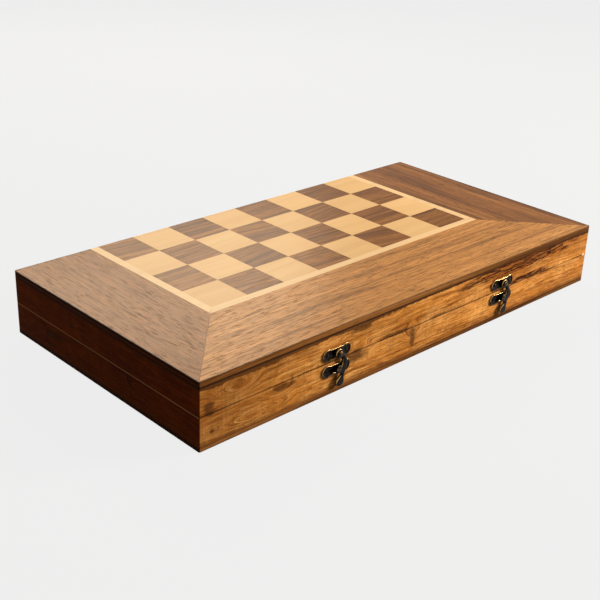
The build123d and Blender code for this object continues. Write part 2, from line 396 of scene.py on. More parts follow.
# A line between two columns goes through the origin, and one between two rows passes behind it.
row_line = 0.0026
# In squares, so that neither outer face of the case lies where one whole number ends.
level_shift = 0.3


def squares(name, tones, look, seed, tone_change, slant, darker=0.0):
    """A veneer whose squares differ in tone and slant, with painted shade towards the right."""
    finish = Finish(name)
    point = finish.place()
    cell = 1 / square
    shift = (0.0, -row_line * cell, level_shift)
    moved = {"Vector": point, "Location": shift, "Scale": (cell, cell, cell)}
    counted = finish.add("ShaderNodeMapping", {}, moved)
    number = finish.add("ShaderNodeVectorMath", {"operation": "FLOOR"}, {0: counted})
    place_roll = finish.add("ShaderNodeTexWhiteNoise", {}, {"Vector": number}, "Color")
    tone_roll = finish.add("ShaderNodeTexWhiteNoise", {}, {"Vector": number}, "Value") - 0.5
    far_apart = {0: place_roll, 1: (3, 1, 1), 2: point}
    jump = finish.add("ShaderNodeVectorMath", {"operation": "MULTIPLY_ADD"}, far_apart)
    along, across, height = finish.parts(jump)
    leaning = across + tone_roll * slant * along
    laid = finish.add("ShaderNodeCombineXYZ", {}, {0: along, 1: leaning, 2: height})
    colour, pore = grain_over(finish, laid, tones, look, seed)
    to_the_right, _, _ = finish.parts(point)
    # Painted shade: the walnut squares darken towards the right, where the sheen fades.
    colour = finish.dim(colour, tone_roll * tone_change - to_the_right * darker + 1)
    return finish.finish(colour, lacquer_rough + pore * 0.2, 1 - pore, pore_depth, lacquer_shine)


streaky = {"band": 0.0045, "contrast": 0.2, "fibre": 0.7, "streak": 0.7, "vein": 0.25, "pore": 0.4}
dark_sheet = (shade(80, 45, 15), shade(117, 72, 28), shade(142, 93, 40))
walnut_squares = squares("walnut_squares", dark_sheet, streaky, 1.0, 0.16, 0.35, 0.9)
maple_squares = squares("maple_squares", maple, close_grain, 2.0, 0.06, 0.2)
print("squares of", square * 1000, "mm")


# %% [markdown]
# ## Stained boards
#
# The walls are cheap knotty boards under a honey-coloured stain. Their marks stand at known
# places, so a board carries lists of them: each mark is an ellipse, with its place along the wall
# and its height, its length and its width, all in millimetres. A second noise with ragged edges
# keeps the ellipses from looking drawn.

# %% Boards and their marks
class Board(Finish):
    """A stained wall board with its marks, lists of (along, height, length, width) by kind."""

    def __init__(self, name, turn, tone, marks, seed):
        super().__init__(name)
        self.dark, self.middle, self.light = tone
        self.marks = marks
        self.seed = seed
        self.point = self.place(turn)
        self.along, self.across, self.height = self.parts(self.point)
        self.ragged = self.noise(self.point, (80, 60, 170), 4.0, 0.7, seed + 1) - 0.5

    def mask(self, spot, length_share=1.0, width_share=1.0):
        x, z, length, width = [value / 1000 for value in spot]
        return self.spot(self.point, (x, 0, z), (length * length_share, None, width * width_share))

    def masks(self, kind):
        return [self.mask(spot) for spot in self.marks.get(kind, [])]


seam = (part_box("lower_front_wall")[1].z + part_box("upper_front_wall")[0].z) / 2
print("the halves meet at a height of", round(seam * 1000, 1), "mm")


# %% [markdown]
# ## Rings round knots
#
# A knot pushes the growth rings aside, so the rings run round it. To get that, the height of a
# point on the wall is lifted near each knot before it goes into the noise: lines of equal height
# then bulge and close up as rings do. A swirl is the same without a knot in the middle.

# %% Growth rings
knot_lift = 0.018
swirl_lift = 0.014


def growth_rings(board):
    """Where a point lies in the log, across the rings."""
    drift = board.noise(board.point, (7, 0, 20), 1.0, seed=board.seed) - 0.5
    level = board.height + drift * 0.012
    for mask in board.masks("knots"):
        level = level + mask * knot_lift
    for mask in board.masks("swirls"):
        level = level + mask * swirl_lift
    return board.add("ShaderNodeCombineXYZ", {}, {0: board.along, 1: board.across * 0.2, 2: level})


print("a knot moves the rings by", knot_lift * 1000, "mm")


# %% [markdown]
# ## Stain on cheap wood
#
# Stain soaks into soft wood unevenly. Under the stain lie the bands of the rings, over them
# clouds and a quilt of smaller blotches, bright curls, thin dark lines, short dark specks and the
# faint upright marks of the saw. Near the left end the light also catches a few thin wavy lines,
# here called wisps: a line is where a slow noise passes through its middle value.

# %% Stained wood
saw_marks_per_metre = 620
wisp_gold = shade(236, 176, 98)


def stained_wood(board, log):
    """The colour of a board without its marks, its clouds and its relief."""
    seed = board.seed
    point = board.point
    bands = board.noise(log, (5, 30, 230), 3.0, 0.6, seed)
    lines = board.noise(log, (13, 60, 900), 4.0, 0.7, seed)
    curls = board.noise(log, (36, 60, 420), 3.0, 0.65, seed + 6)
    wisps = board.noise(log, (26, 60, 210), 1.0, 0.5, seed + 8)
    cloud = board.noise(point, (20, 30, 50), 3.0, 0.6, seed + 4)
    quilt = board.noise(point, (75, 60, 130), 3.0, 0.6, seed + 2)
    specks = board.noise(point, (110, 60, 760), 3.0, 0.7, seed + 12)
    saw = board.noise(point, (saw_marks_per_metre, 40, 24), 1.0)
    colour = board.mix(board.step(bands, 0.3, 0.53), board.dark, board.middle)
    colour = board.mix(board.step(cloud, 0.42, 0.66) * 0.6, colour, board.light)
    colour = board.dim(colour, (quilt - 0.5) * 1.1 + 1)
    colour = board.mix(board.step(curls, 0.52, 0.6) * 0.55, colour, board.light)
    wisp = board.step(abs(wisps - 0.5), 0.05, 0.0) * board.step(curls, 0.42, 0.54)
    for mask in board.masks("wisps"):
        colour = board.mix(wisp * board.step(mask, 0.0, 0.5) * 0.8, colour, wisp_gold)
    colour = board.mix(board.step(lines, 0.5, 0.6) * 0.5, colour, board.dark)
    colour = board.mix(board.step(specks, 0.55, 0.63) * 0.5, colour, dimmed(board.dark, 0.7))
    sawn = board.step(saw, 0.5, 0.64) * board.step(cloud, 0.46, 0.6)
    colour = board.mix(sawn * 0.25, colour, board.dark)
    return colour, cloud, lines * 0.6 + saw * 0.25 + curls * 0.3


print("the saw left a mark every", round(1000 / saw_marks_per_metre, 1), "mm")


# %% [markdown]
# ## Knots, smudges and burns
#
# The heart of a knot and the smudges have the same dark brown. Where a dull planer ran over the
# wood it left it burnt: a redder brown with short dashes that are nearly black, near the right
# end. Brown is also mixed in at both ends of the front wall; at the left end this is painted
# shade, where the light falls off towards the end.

# %% Marks in the wood
heart = shade(62, 32, 12)
scorched = shade(108, 52, 10)
burnt_black = shade(48, 20, 4)
dull_brown = shade(108, 54, 12)


def marked_wood(board, colour):
    """Lays the darker ends, partly painted shade, the hearts of the knots and the smudges over a board.
    """
    # Brown mixed in at the ends; at the left end of the front wall it is painted shade.
    for mask in board.masks("dull"):
        colour = board.mix(mask * 0.5, colour, dull_brown)
    for spot in board.marks.get("knots", []):
        core = board.mask(spot, 0.45, 0.5)
        colour = board.mix(board.step(core, 0.1, 0.8) * 0.7, colour, heart)
    for mask in board.masks("smudges"):
        patch = board.step(mask + board.ragged * 1.6, 0.2, 0.8)
        colour = board.mix(patch * 0.72, colour, heart)
    return colour


def burnt_wood(board, log, colour):
    for mask in board.masks("burns"):
        dashes = board.step(board.noise(log, (85, 60, 900), 2.0, 0.6, 2), 0.47, 0.52)
        colour = board.mix(board.step(mask, 0.02, 0.6) * 0.7, colour, scorched)
        colour = board.mix(board.step(mask, 0.03, 0.35) * dashes * 0.95, colour, burnt_black)
    return colour


print("marks have", len({heart, scorched, burnt_black, dull_brown}), "browns")


# %% [markdown]
# ## Edges of a wall
#
# Glue and stain ran out from under each panel and left a ragged dark strip along it, with a black
# hairline where the wall meets the panel. The strip's lower edge is a height that a noise and a
# few drips push up and down. At the seam a dark line is painted shade in the gap between the
# halves, except on the left wall, where a bright line along the arris is a painted highlight, and
# one corner has lost a chip of its stain.

# %% Wall edges
panel_line = 0.0532
foot_line = 0.0060
strip_brown = shade(72, 40, 17)
foot_brown = shade(96, 54, 24)
hairline_black = shade(30, 16, 8)
arris_highlight = shade(222, 158, 100)
gap_shade = shade(34, 18, 8)
bare_wood = shade(224, 196, 156)


def panel_edges(board, colour):
    """The ragged strip under the upper panel, the fainter one at the foot, and the hairline."""
    edge = board.height + board.ragged * 0.009
    for mask in board.masks("drips"):
        edge = edge + mask * 0.0032
    strip = board.step(edge, panel_line - 0.0012, panel_line)
    foot = board.step(edge, foot_line + 0.0022, foot_line)
    hairline = board.step(board.height, panel_line, panel_line + 0.0006)
    colour = board.mix(strip * 0.85, colour, strip_brown)
    colour = board.mix(foot * 0.5, colour, foot_brown)
    return board.mix(hairline * 0.7, colour, hairline_black)


def seam_edges(board, colour, rubbed, gap):
    """The arrises at the seam, a painted highlight or painted shade in the gap, and the chips."""
    below = seam - board.height
    # A bright line along the arris, a painted highlight.
    bright = board.step(below, 0.0001, 0.0003) * board.step(below, 0.0012, 0.0007)
    colour = board.mix(bright * rubbed, colour, arris_highlight)
    # A dark line at the seam, painted shade in the gap between the halves.
    stretches = board.noise(board.point, (18, 0, 0), 2.0, seed=board.seed + 5)
    open_gap = board.step(stretches, 0.42, 0.58) * 0.5 + 0.5
    gap_shade_line = board.step(abs(below), 0.0010, 0.0004) * open_gap * gap
    colour = board.mix(gap_shade_line, colour, gap_shade)
    for mask in board.masks("chips"):
        colour = board.mix(board.step(mask + board.ragged, 0.2, 0.4), colour, bare_wood)
    return colour


def stained_board(name, turn, tone, marks, seed, shine=0.02, rubbed=0.0, gap=0.8):
    """A finish for one wall, from its tones and its marks."""
    board = Board(name, turn, tone, marks, seed)
    log = growth_rings(board)
    colour, cloud, relief = stained_wood(board, log)
    colour = marked_wood(board, colour)
    colour = panel_edges(board, colour)
    colour = burnt_wood(board, log, colour)
    colour = seam_edges(board, colour, rubbed, gap)
    return board.finish(colour, 0.36 + cloud * 0.25, relief, 0.0005, shine)


print("strips start", round((panel_line - seam) * 1000, 1), "mm above the seam")


# %% [markdown]
# ## The front wall
#
# The front wall is the one that the picture shows best, so its marks follow what can be seen
# there: a knot on the seam near the middle, a smaller one near the left end, swirls on the left
# half, smudges beside the left latch and along the seam, the burnt grain above the right latch,
# a darker place below it and brown at both ends, which at the left end is painted shade.

# %% Front wall
honey = (shade(114, 60, 16), shade(184, 117, 48), shade(222, 157, 84))
front_marks = {
    "knots": [(-15, 26, 16, 13), (-238, 14, 9, 6)],
    "swirls": [(-215, 42, 34, 12), (-170, 26, 26, 10), (-196, 12, 60, 9), (-84, 28, 26, 13)],
    "smudges": [
        (-164, 26, 24, 5), (-86, 27, 24, 13), (-82, 49, 30, 4), (60, 46, 30, 4), (-240, 34, 10, 12),
        (-38, 31, 34, 4), (22, 31, 30, 3), (-14, 16, 6, 12),
    ],
    "drips": [(-180, 54, 70, 12), (-80, 54, 34, 14), (-236, 54, 20, 16)],
    "burns": [(140, 49, 120, 9), (150, 33, 50, 4)],
    # Brown at both ends; at the left end it is painted shade, where the light falls off.
    "dull": [(-250, 30, 130, 90), (235, 54, 60, 30), (215, -10, 130, 44)],
    "wisps": [(-185, 40, 70, 12), (-190, 13, 80, 14), (-100, 14, 60, 12)],
    "chips": [(246, 30, 3, 1.4)],
}
stained_front = stained_board("stained_front", 0, honey, front_marks, 0.0)
print("the front wall has", sum(len(spots) for spots in front_marks.values()), "marks")


# %% [markdown]
# ## The other walls
#
# The left wall is stained almost black-brown, and part of that dark is painted shade, because
# that end lies in shade; it also has the duller finish. The back and the right wall are out of
# sight in the picture, so their marks are our own: the back is like the front, and the right end
# a shade darker.

# %% Other walls
back_marks = {
    "knots": [(70, 18, 14, 9), (-190, 44, 12, 8)],
    "swirls": [(0, 30, 60, 12)],
    "smudges": [(120, 30, 20, 8), (-40, 52, 40, 5)],
}
left_marks = {
    "knots": [(40, 40, 12, 8)],
    "swirls": [(-60, 20, 40, 9)],
    "smudges": [(70, 20, 30, 8)],
}
right_marks = {
    "knots": [(-30, 20, 12, 8)],
    "swirls": [(60, 40, 40, 9)],
    "smudges": [(-80, 40, 20, 6)],
}
# The umber tones hold a dark stain and painted shade for the shaded left end.
shaded_umber = (shade(72, 23, 3), shade(100, 38, 5), shade(124, 57, 13))
amber = (shade(76, 38, 9), shade(128, 74, 26), shade(156, 100, 44))
stained_back = stained_board("stained_back", 0, honey, back_marks, 9.0)
stained_and_shaded_left = stained_board("stained_and_shaded_left", -90, shaded_umber, left_marks, 17.0, 0.006, rubbed=0.6, gap=0.0)
stained_right = stained_board("stained_right", -90, amber, right_marks, 23.0)
print("walls:", stained_back.name, stained_and_shaded_left.name, stained_right.name)


# %% [markdown]
# ## Panel edges
#
# The cores of the panels show only as two thin brown bands round the case. They darken towards
# the right. At the left end they have the stain of the wall with painted shade in it, going over
# into a painted black line of shade along the veneer. Both follow from where a point lies along
# the case, and the line from its height as well.

# %% Panel edges
core_tones = (shade(76, 42, 18), shade(128, 80, 38), shade(156, 104, 56))
fine_grain = {"band": 0.006, "contrast": 0.2, "fibre": 0.3, "streak": 0.3, "vein": 0.4, "pore": 0.3}
# At the left end: the wall's stain with painted shade, and a painted shade line near the veneer.
end_stain_and_shade = shade(92, 32, 4)
end_shade_line = shade(34, 12, 3)
# Heights from the seam, in metres, between which the stain goes over into the painted shade line.
stain_ends = 0.0262
shade_line_starts = 0.0276


def stained_and_shaded_end(finish, colour, edge_dark):
    """Darkens a panel's edge towards the right, and gives it the wall's stain and painted shade at the
    left end.
    """
    along, _, height = finish.parts(finish.place())
    colour = finish.dim(colour, 1 - finish.step(along, -0.1, 0.15) * 0.45)
    outer = finish.step(abs(height - seam), stain_ends, shade_line_starts)
    stain_and_shade = finish.mix(outer, end_stain_and_shade, end_shade_line)
    return finish.mix(finish.step(along - case_low.x, 0.0006, 0.0002) * 0.95, colour, stain_and_shade)


core_edge = veneer("core_edge", 0, core_tones, fine_grain, 21.0, 0.5, 0.008, outline=stained_and_shaded_end)
print("panel edges:", core_edge.name)


# %% [markdown]
# ## Field and points
#
# Inside, the field is plain walnut veneer, and the points are inlaid in maple and in dark walnut,
# with their grain along the points. They reuse the veneer with other tones, under wax instead of
# lacquer, so that they are matt. The picture shows the case closed, so these tones are what such
# boards usually have.

# %% Field and points
field_tones = (shade(110, 70, 42), shade(158, 112, 74), shade(176, 130, 88))
dark_tones = (shade(52, 28, 16), shade(84, 48, 28), shade(104, 64, 40))
wax_rough = 0.65
wax_shine = 0.02
field_ground = veneer("field_ground", 0, field_tones, open_grain, 31.0, wax_rough, wax_shine)
light_point = veneer("light_point", -90, maple, close_grain, 33.0, wax_rough, wax_shine)
dark_point = veneer("dark_point", -90, dark_tones, fine_grain, 35.0, wax_rough, wax_shine)
print("inner faces:", field_ground.name, light_point.name, dark_point.name)


# %% [markdown]
# ## Dark bronze and brass
#
# The latches are cast and chemically darkened, and handling has rubbed their rims and the tops of
# their rivets back to pale brass. On the upper and left rims of the plates and hooks, that brass
# is also a painted highlight. A worn edge could be found with the Bevel or Pointiness nodes,
# which only Cycles knows. Here each piece of a latch carries its own `rubbed`
# attribute, and the finish mixes dark and bright metal by it.

# %% Metals
bronze_darks = (shade(16, 12, 9), shade(34, 25, 17))
# Pale brass of rubbed rims; on upper and left rims it is also a painted highlight.
rubbed_brass = shade(180, 143, 88)
hinge_brasses = (shade(190, 154, 88), shade(146, 110, 58))


def bronze_finish():
    finish = Finish("dark_bronze")
    point = finish.place()
    rubbed = finish.add("ShaderNodeAttribute", {"attribute_name": "rubbed"}, {}, "Fac")
    cloud = finish.noise(point, (420, 420, 420), 3.0, 0.6)
    fine = finish.noise(point, (1500, 1500, 1500), 2.0, 0.6)
    # Bright where rims are rubbed, and where the painted highlight lies on upper and left rims.
    bright = finish.step(rubbed + (cloud - 0.5) * 0.8, 0.5, 1.1)
    dark = finish.mix(finish.step(cloud, 0.4, 0.65), *bronze_darks)
    colour = finish.mix(bright, dark, rubbed_brass)
    rough = 0.36 - bright * 0.1 + fine * 0.1
    return finish.finish(colour, rough, fine, 0.00005, metallic=1.0)


def brass_finish():
    finish = Finish("hinge_brass")
    point = finish.place()
    tarnish = finish.noise(point, (90, 90, 90), 3.0, 0.6)
    brushed = finish.noise(point, (60, 900, 900), 2.0, 0.6)
    colour = finish.mix(finish.step(tarnish, 0.35, 0.7), *hinge_brasses)
    return finish.finish(colour, 0.28 + brushed * 0.16, brushed, 0.00004, metallic=1.0)


dark_bronze = bronze_finish()
hinge_brass = brass_finish()
print("metals:", dark_bronze.name, hinge_brass.name)


# %% [markdown]
# ## Finishes on the CAD nodes
#
# A node whose shape is right keeps its mesh, and only gets its finish, in its first material
# slot. The names of the nodes say what they are, so a short table does both halves of the case.

# %% Dress the nodes
finishes = {
    "panel_core": core_edge,
    "border_front": border_front,
    "border_left": border_left,
    "border_right": border_right,
    "stringing": maple_string,
    "walnut_squares": walnut_squares,
    "maple_squares": maple_squares,
    "field_ground": field_ground,
    "light_points": light_point,
    "dark_points": dark_point,
    "front_wall": stained_front,
    "back_wall": stained_back,
    "left_wall": stained_and_shaded_left,
    "right_wall": stained_right,
}


def dress(node, material):
    mesh = nodes[node].data
    mesh.materials.clear()
    mesh.materials.append(material)


for half in ("lower", "upper"):
    for part, material in finishes.items():
        dress(half + "_" + part, material)
    for side in ("left", "right"):
        dress("hinge_leaf_" + half + "_" + side, hinge_brass)
for side in ("left", "right"):
    dress("hinge_pin_" + side, hinge_brass)
print("dressed", 2 * len(finishes) + 6, "nodes")


# %% [markdown]
# ## Pieces of our own
#
# A piece that Blender models rides on one of the CAD's bodies, so it moves with the hook or the
# half that carries it, and it names the material slot that it takes its finish from. Its place
# is in its mesh and its object stays at the origin, as for the CAD nodes.

# %% Own pieces
def own_piece(name, mesh, material, body):
    """Puts a finished mesh into the scene as a piece that rides on a body."""
    mesh.name = name
    mesh.materials.clear()
    mesh.materials.append(material)
    piece = bpy.data.objects.new(name, mesh)
    bpy.context.scene.collection.objects.link(piece)
    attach(piece, body)
    return piece


# %% [markdown]
# ## Rubbed rims and painted highlights
#
# Fingers reach the rims of a casting first, so the rims are rubbed. The upper rims and those on
# the left get more of the bright brass, a painted highlight where the light catches them. How
# sharply the surface turns outwards at a vertex is the mean angle of the edges that meet there.
# The neighbours' angles are averaged in, because the mesh is fine and single angles are noisy.

# %% Rubbed rims and painted highlights
highlight_share = 0.75
highlight_always = 0.4
highlight_from_above = 0.8
highlight_from_left = 0.5


def mark_rubbed(work, full):
    """How far each vertex stands out, 1 at full radians per cell, plus a painted highlight up and left.
    """
    layer = work.verts.layers.float.new("rubbed")
    work.normal_update()
    sharp = {}
    for vertex in work.verts:
        turns = [edge.calc_face_angle_signed(0.0) for edge in vertex.link_edges]
        sharp[vertex] = sum(turns) / len(turns)
    for vertex in work.verts:
        near = [sharp[edge.other_vert(vertex)] for edge in vertex.link_edges]
        out = vertex.normal
        # Rims facing up and to the left are brighter: a painted highlight where the light catches them.
        facing_highlight = highlight_always + highlight_from_above * out.z - highlight_from_left * out.x
        facing_highlight = max(0.0, min(1.0, facing_highlight))
        rim = max(0.0, min(1.0, (sharp[vertex] + sum(near)) / (len(near) + 1) / full))
        vertex[layer] = rim * (1 - highlight_share + highlight_share * facing_highlight)


# Rims facing down or to the right get less of the painted highlight.
print("a rim out of reach is rubbed", round(1 - highlight_share, 2), "times as much as the others")


# %% [markdown]
# ## Cast plates and hooks
#
# The CAD solids of the latches have crisp edges. A casting has none: its rims and bends are soft.
# A Bevel modifier would trip over the many small faces of an imported solid, so a copy of it is
# merged, rebuilt in small even cells with a voxel Remesh, and then smoothed until its edges are
# round by about a millimetre.

# %% Castings
cell_size = 0.00025
smoothing_rounds = 24
full_turn = 0.1


def even_cells(node):
    """A copy of a CAD node's mesh, merged and rebuilt in even cells."""
    work = bmesh.new()
    work.from_mesh(nodes[node].data)
    bmesh.ops.remove_doubles(work, verts=work.verts, dist=0.000002)
    merged = bpy.data.meshes.new("merged")
    work.to_mesh(merged)
    work.free()
    helper = bpy.data.objects.new("helper", merged)
    bpy.context.scene.collection.objects.link(helper)
    remesh = helper.modifiers.new("cells", "REMESH")
    remesh.mode = "VOXEL"
    remesh.voxel_size = cell_size
    rebuilt = helper.evaluated_get(bpy.context.evaluated_depsgraph_get())
    mesh = bpy.data.meshes.new_from_object(rebuilt)
    bpy.data.objects.remove(helper)
    return mesh


def cast(node, body):
    """A soft copy of a CAD node that takes its place."""
    mesh = even_cells(node)
    work = bmesh.new()
    work.from_mesh(mesh)
    for _ in range(smoothing_rounds):
        bmesh.ops.smooth_vert(
            work, verts=work.verts, factor=0.5, use_axis_x=True, use_axis_y=True, use_axis_z=True,
        )
    mark_rubbed(work, full_turn)
    for face in work.faces:
        face.smooth = True
    work.to_mesh(mesh)
    work.free()
    piece = own_piece("cast_" + node, mesh, dark_bronze, body)
    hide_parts(node)
    return len(mesh.polygons)


cells = 0
for side in ("left", "right"):
    cells += cast("latch_plate_" + side, "upper_half")
    cells += cast("catch_plate_" + side, "lower_half")
    cells += cast("latch_hook_" + side, "latch_hook_" + side)
print("six castings of", cells, "faces")


# %% [markdown]
# ## Turning
#
# Everything round is turned from half an outline, as on a lathe. In bmesh that is a short chain
# of edges and the spin operator. The doubles at the axis are merged, and the normals worked out
# again, because spin may leave them pointing inwards.

# %% Turning
def aimed(axis):
    """The turn that points a shape built upwards along an axis instead."""
    return Vector((0, 0, 1)).rotation_difference(Vector(axis)).to_matrix().to_4x4()


def turned(outline, start, axis, steps=28):
    """A mesh from an outline of (radius, height) points, spun round an axis through start."""
    work = bmesh.new()
    chain = [work.verts.new((radius, 0.0, height)) for radius, height in outline]
    edges = [work.edges.new(pair) for pair in zip(chain, chain[1:])]
    bmesh.ops.spin(
        work, geom=chain + edges, cent=(0, 0, 0), axis=(0, 0, 1), dvec=(0, 0, 0),
        angle=math.tau, steps=steps, use_merge=True, use_duplicate=False,
    )
    bmesh.ops.remove_doubles(work, verts=work.verts, dist=0.000002)
    bmesh.ops.recalc_face_normals(work, faces=work.faces)
    bmesh.ops.transform(work, matrix=Matrix.Translation(start) @ aimed(axis), verts=work.verts)
    for face in work.faces:
        face.smooth = True
    return work


def domed(radius, rise, points=6):
    """The outline of a dome from its rim to its top."""
    steps = [math.pi / 2 * k / points for k in range(points + 1)]
    return [(radius * math.cos(a), rise * math.sin(a)) for a in steps]


def to_piece(work, name, material, body, rubbed=None):
    """Makes a piece of a bmesh. rubbed, if given, says how bright a place of it is worn."""
    if rubbed is not None:
        layer = work.verts.layers.float.new("rubbed")
        for vertex in work.verts:
            vertex[layer] = rubbed(vertex.co)
    mesh = bpy.data.meshes.new(name)
    work.to_mesh(mesh)
    work.free()
    return own_piece(name, mesh, material, body)


print("a dome 1 mm high starts with", [round(value, 2) for value in domed(1.0, 1.0)[1]])


# %% [markdown]
# ## Rivets and studs
#
# A rivet holds each hook on its plate, and a stud on each catch plate holds the hook's finger. Both
# replace their CAD node and keep its radius and its height, only the head is domed. The top of
# the dome is rubbed bright.

# %% Rivets and studs
head_height = 0.0012
rivet_shank = 1.5 / 2.7
stud_shank = 2.0 / 3.0
worn_dome = 0.6
worn_side = 0.1


def post(node, body, shank_share):
    """A rivet or stud: its shank, a flat collar and a domed head, as large as its CAD node."""
    low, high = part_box(node)
    radius = (high.x - low.x) / 2
    reach = high.y - low.y
    shank = radius * shank_share
    start = Vector(((low.x + high.x) / 2, high.y, (low.z + high.z) / 2))
    top = reach - head_height
    collar = [(shank, top), (radius, top), (radius, top + head_height * 0.3)]
    dome = [(r, top + head_height * 0.35 + h) for r, h in domed(radius * 0.97, head_height * 0.65)]
    work = turned([(0, 0), (shank, 0)] + collar + dome, start, (0, -1, 0), 40)

    def worn(place):
        return worn_dome if place.y < low.y + head_height * 0.5 else worn_side

    piece = to_piece(work, "turned_" + node, dark_bronze, body, worn)
    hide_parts(node)
    return radius


for side in ("left", "right"):
    rivet = post("latch_rivet_" + side, "upper_half", rivet_shank)
    stud = post("catch_stud_" + side, "lower_half", stud_shank)
print("heads", round(rivet * 2000, 1), "and", round(stud * 2000, 1), "mm wide")


# %% [markdown]
# ## Nails
#
# Two small round-headed nails hold each plate, one in each lobe. A nail is only its domed head,
# because the shank is in the wood. The heads are rubbed a little on top.

# %% Nails
nail_radius = 0.00135
nail_rise = 0.0007
nail_sunk = 0.0006
rim_height = 0.0007
worn_nail_top = 0.45
worn_nail_side = 0.05
worn_above = 0.0004
lobe = 0.0106


def nail(name, place, body):
    outline = [(nail_radius, -nail_sunk)] + domed(nail_radius, nail_rise, 5)
    work = turned(outline, place, (0, -1, 0), 20)

    def worn(at):
        return worn_nail_top if at.y < place[1] - worn_above else worn_nail_side

    to_piece(work, name, dark_bronze, body, worn)


for side in ("left", "right"):
    for kind, body in (("latch", "upper_half"), ("catch", "lower_half")):
        low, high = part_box(kind + "_plate_" + side)
        for end in (-1, 1):
            place = ((low.x + high.x) / 2 + end * lobe, low.y + rim_height, (low.z + high.z) / 2)
            nail(kind + "_nail_" + side + ("_inner" if end > 0 else "_outer"), place, body)
print("eight nails,", lobe * 2000, "mm apart in each plate")


# %% [markdown]
# ## Hinge screws
#
# Each hinge leaf has two countersunk screws with a slot, flush in the leaf, which are seen only
# when the case is open. Cutting the slot with a boolean is more than so small a mark needs, so a
# thin bar lies across the head instead.

# %% Hinge screws
screw_radius = 0.0021
screw_rise = 0.00008
screw_from_middle = 0.0165
screw_from_edge = 0.0036
leaf_from_seam = 0.0002
slot_size = (0.0036, 0.0005, 0.00003)
slot_turn = 0.7


def hinge_screw(name, place, up, body):
    rim = [(screw_radius, -0.0004), (screw_radius, screw_rise * 0.4)]
    top = [(screw_radius * 0.93, screw_rise), (0, screw_rise)]
    work = turned(rim + top, place, (0, 0, up), 24)
    raised = Matrix.Translation(Vector(place) + Vector((0, 0, up * screw_rise)))
    bar = Matrix.Rotation(slot_turn, 4, "Z") @ Matrix.Diagonal((*slot_size, 1))
    bmesh.ops.create_cube(work, size=1.0, matrix=raised @ bar)
    return to_piece(work, name, hinge_brass, body)


for side in ("left", "right"):
    for half, up in (("lower", 1), ("upper", -1)):
        low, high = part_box("hinge_leaf_" + half + "_" + side)
        face_z = seam - up * leaf_from_seam
        for end in (-1, 1):
            x = (low.x + high.x) / 2 + end * screw_from_middle
            name = "screw_" + half + "_" + side + ("_right" if end > 0 else "_left")
            hinge_screw(name, (x, low.y + screw_from_edge, face_z), up, half + "_half")
print("eight hinge screws,", screw_from_middle * 2000, "mm apart in each leaf")


# %% [markdown]
# ## Playing pieces
#
# Thirty checkers stand in stacks of three in the lower half. The CAD model has them as plain
# twelve-sided discs, here they are turned, with a raised rim and a dished middle. One checker is
# turned and the rest are copies of its geometry in the same mesh.

# %% Checkers
def playing_wood(name, tones, seed):
    finish = Finish(name)
    point = finish.place()
    colour, pore = grain_over(finish, point, tones, fine_grain, seed)
    return finish.finish(colour, 0.34 + pore * 0.2, specular=0.45)


light_wood = playing_wood("checker_maple", maple, 41.0)
dark_wood = playing_wood("checker_walnut", dark_tones, 43.0)
radius = 0.0179
thick = 0.0080
stacks = 5
levels = 3
stack_gap = 0.0001
checker_outline = [
    (0, 0), (radius * 0.9, 0), (radius * 0.975, thick * 0.1), (radius, thick * 0.25),
    (radius, thick * 0.75), (radius * 0.975, thick * 0.9), (radius * 0.92, thick),
    (radius * 0.78, thick), (radius * 0.74, thick * 0.86), (radius * 0.3, thick * 0.82),
    (radius * 0.26, thick * 0.9), (0, thick * 0.9),
]


def stacked(node, material):
    """The stacks of one colour as one piece, and how far apart they stand."""
    low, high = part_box(node)
    x = (low.x + high.x) / 2
    apart = (high.y - low.y - 2 * radius) / (stacks - 1)
    work = turned(checker_outline, (x, low.y + radius, low.z), (0, 0, 1), 48)
    one = list(work.verts) + list(work.edges) + list(work.faces)
    for place in range(stacks):
        for level in range(levels):
            if place or level:
                copy = bmesh.ops.duplicate(work, geom=one)["geom"]
                verts = [item for item in copy if isinstance(item, bmesh.types.BMVert)]
                move = (0, place * apart, level * (thick + stack_gap))
                bmesh.ops.translate(work, verts=verts, vec=move)
    piece = to_piece(work, "turned_" + node, material, "lower_half")
    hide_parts(node)
    return apart


stacked("light_checkers", light_wood)
apart = stacked("dark_checkers", dark_wood)
print("stacks stand", round(apart * 1000, 1), "mm apart")


# %% [markdown]
# ## Dice
#
# A die is a cube with rounded edges. Both dice are one CAD node, so they are one piece here.
# The Bevel operator rounds all the edges of both cubes at once.

# %% Dice
def plain_finish(name, colour, rough):
    finish = Finish(name)
    speck = finish.noise(finish.place(), (300, 300, 300), 2.0)
    colour = finish.mix(finish.step(speck, 0.3, 0.7), colour, dimmed(colour, 0.9))
    return finish.finish(colour, rough)


ivory = plain_finish("die_ivory", shade(232, 224, 206), 0.3)
ink = plain_finish("pip_ink", shade(34, 30, 30), 0.35)
die_edge = 0.0014
low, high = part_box("dice")
die_size = high.z - low.z
centres = [
    Vector((x, (low.y + high.y) / 2, (low.z + high.z) / 2))
    for x in (low.x + die_size / 2, high.x - die_size / 2)
]
work = bmesh.new()
for centre in centres:
    bmesh.ops.create_cube(work, size=die_size, matrix=Matrix.Translation(centre))
bmesh.ops.bevel(
    work, geom=list(work.edges), offset=die_edge, segments=4,
    affect="EDGES", profile=0.5, material=-1,
)
for face in work.faces:
    face.smooth = True
dice = to_piece(work, "rounded_dice", ivory, "lower_half")
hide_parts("dice")
print("two dice of", round(die_size * 1000, 1), "mm")


# %% [markdown]
# ## Pips
#
# A pip is a flat drop of dark paint, a squashed ball that hardly stands out of the face. The
# places of one to six pips are the same on every die, and opposite faces add up to seven. All
# the pips of both dice are one mesh, as they share one finish.

